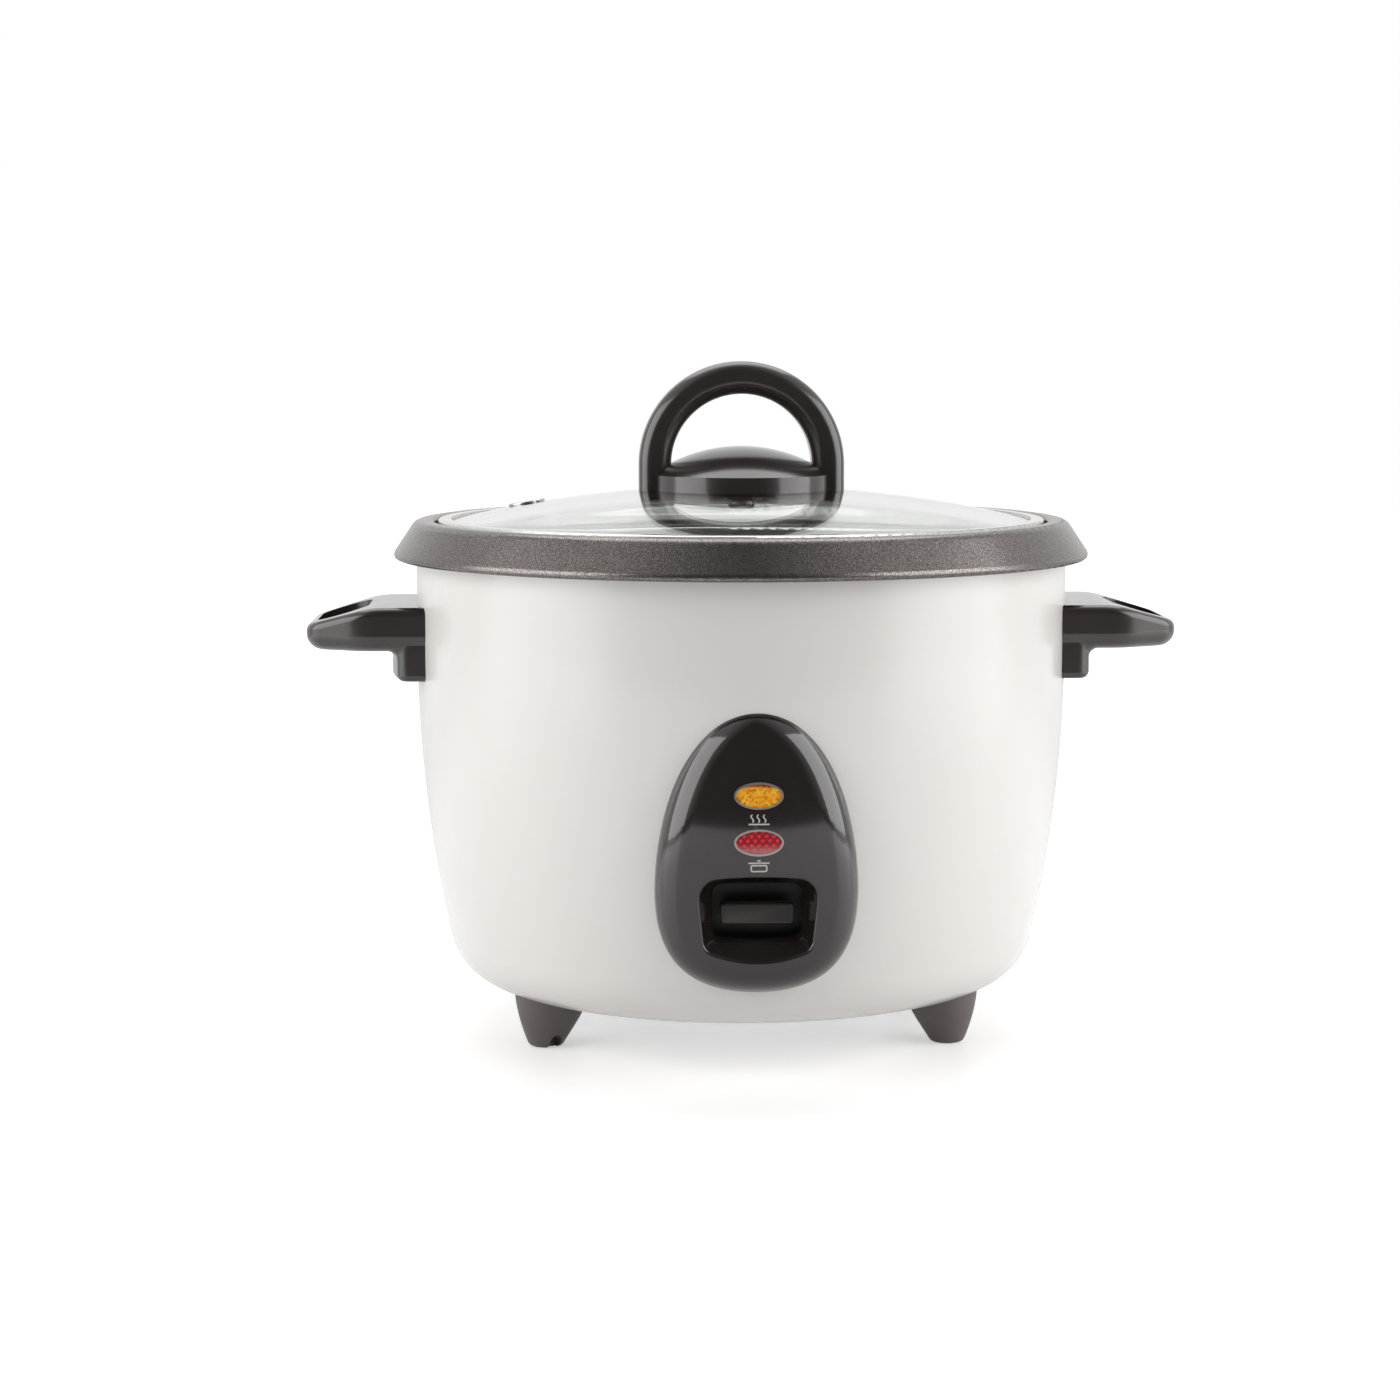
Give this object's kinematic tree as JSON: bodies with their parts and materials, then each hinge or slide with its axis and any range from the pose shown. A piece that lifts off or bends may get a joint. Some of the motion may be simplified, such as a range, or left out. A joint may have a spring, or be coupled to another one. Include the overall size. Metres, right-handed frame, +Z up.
{
  "type": "rice cooker",
  "caption": "Drum rice cooker with a lift-off glass lid, lift-out pot, arch knob, wing handles, front control panel with a cook lever, and feet.",
  "frame": {"origin": "on the floor under the drum's centre", "axes": "+Z up; the control panel faces -Y; the side handles lie along X"},
  "size_m": [0.28, 0.2251, 0.216],
  "materials": {
    "body_paint": "gloss",
    "rim_paint": "satin metallic",
    "dark_gloss": "gloss",
    "foot_plastic": "matte",
    "lever_plastic": "satin",
    "amber_plastic": "clear tinted",
    "red_plastic": "clear tinted",
    "bezel_chrome": "polished",
    "clear_glass": "clear",
    "stainless": "brushed",
    "pot_aluminium": "satin",
    "sheet_aluminium": "bright",
    "cast_aluminium": "cast, turned top",
    "zinc_steel": "zinc plated",
    "ferrite_grey": "matte",
    "magnet_black": "matte",
    "black_plastic": "matte",
    "white_ceramic": "matte",
    "glass_cloth": "woven",
    "lamp_glass": "clear",
    "brass": "bright",
    "silicone": "matte"
  },
  "bodies": {
    "cooker": {"body_shell": "body_paint", "top_ring": "rim_paint", "heat_reflector": "sheet_aluminium", "base_plate": "zinc_steel", "foot_front_left": "foot_plastic", "foot_front_right": "foot_plastic", "foot_rear_left": "foot_plastic", "foot_rear_right": "foot_plastic", "foot_screws": "zinc_steel", "handle_left": "dark_gloss", "handle_right": "dark_gloss", "handle_screws": "zinc_steel", "control_fascia": "dark_gloss", "fascia_screws": "zinc_steel", "amber_lens": "amber_plastic", "red_lens": "red_plastic", "lens_bezels": "bezel_chrome", "lamp_holder": "black_plastic", "neon_lamps": "lamp_glass", "lever_pivot_pin": "stainless", "lever_bracket": "zinc_steel", "microswitch": "black_plastic", "heating_plate": "cast_aluminium", "plate_posts": "zinc_steel", "plate_screws": "zinc_steel", "plate_terminals": "stainless", "sensor_spring": "stainless", "thermostat_cup": "zinc_steel", "keep_warm_heater": "glass_cloth", "thermal_fuse": "white_ceramic", "terminal_block": "white_ceramic", "power_inlet": "black_plastic", "inlet_pins": "brass"},
    "pot": {"inner_pot": "pot_aluminium"},
    "lid": {"lid_glass": "clear_glass", "lid_rim": "stainless", "vent_eyelet": "stainless", "lid_knob": "dark_gloss", "knob_gasket": "silicone", "knob_washer": "stainless", "knob_screw": "stainless"},
    "lever": {"lever_paddle": "lever_plastic", "lever_shield": "black_plastic", "cook_lever": "zinc_steel"},
    "sensor": {"sensor_cap": "sheet_aluminium", "ferrite": "ferrite_grey"},
    "magnet": {"magnet": "magnet_black", "magnet_holder": "zinc_steel"}
  },
  "joints": [
    {"name": "pot_lift", "type": "slide", "parent": "cooker", "child": "pot", "axis": [0, 0, 1], "range_m": [0, 0.14]},
    {"name": "lid_lift", "type": "slide", "parent": "pot", "child": "lid", "axis": [0, 0, 1], "range_m": [0, 0.15]},
    {"name": "cook_lever", "type": "hinge", "parent": "cooker", "child": "lever", "pos_m": [0, -0.045, 0.03], "axis": [1, 0, 0], "range_deg": [0, 4.5], "stiffness_Nm_per_rad": 0.5},
    {"name": "magnet_rise", "type": "slide", "parent": "cooker", "child": "magnet", "axis": [0, 0, 1], "range_m": [0, 0.0036]},
    {"name": "sensor_press", "type": "slide", "parent": "cooker", "child": "sensor", "axis": [0, 0, 1], "range_m": [-0.0015, 0], "stiffness_N_per_m": 500, "springref_m": 0.003, "deforming": ["sensor_spring"]}
  ],
  "couplings": [
    {"joint": "magnet_rise", "follows": "cook_lever", "m_per_rad": 0.045}
  ]
}
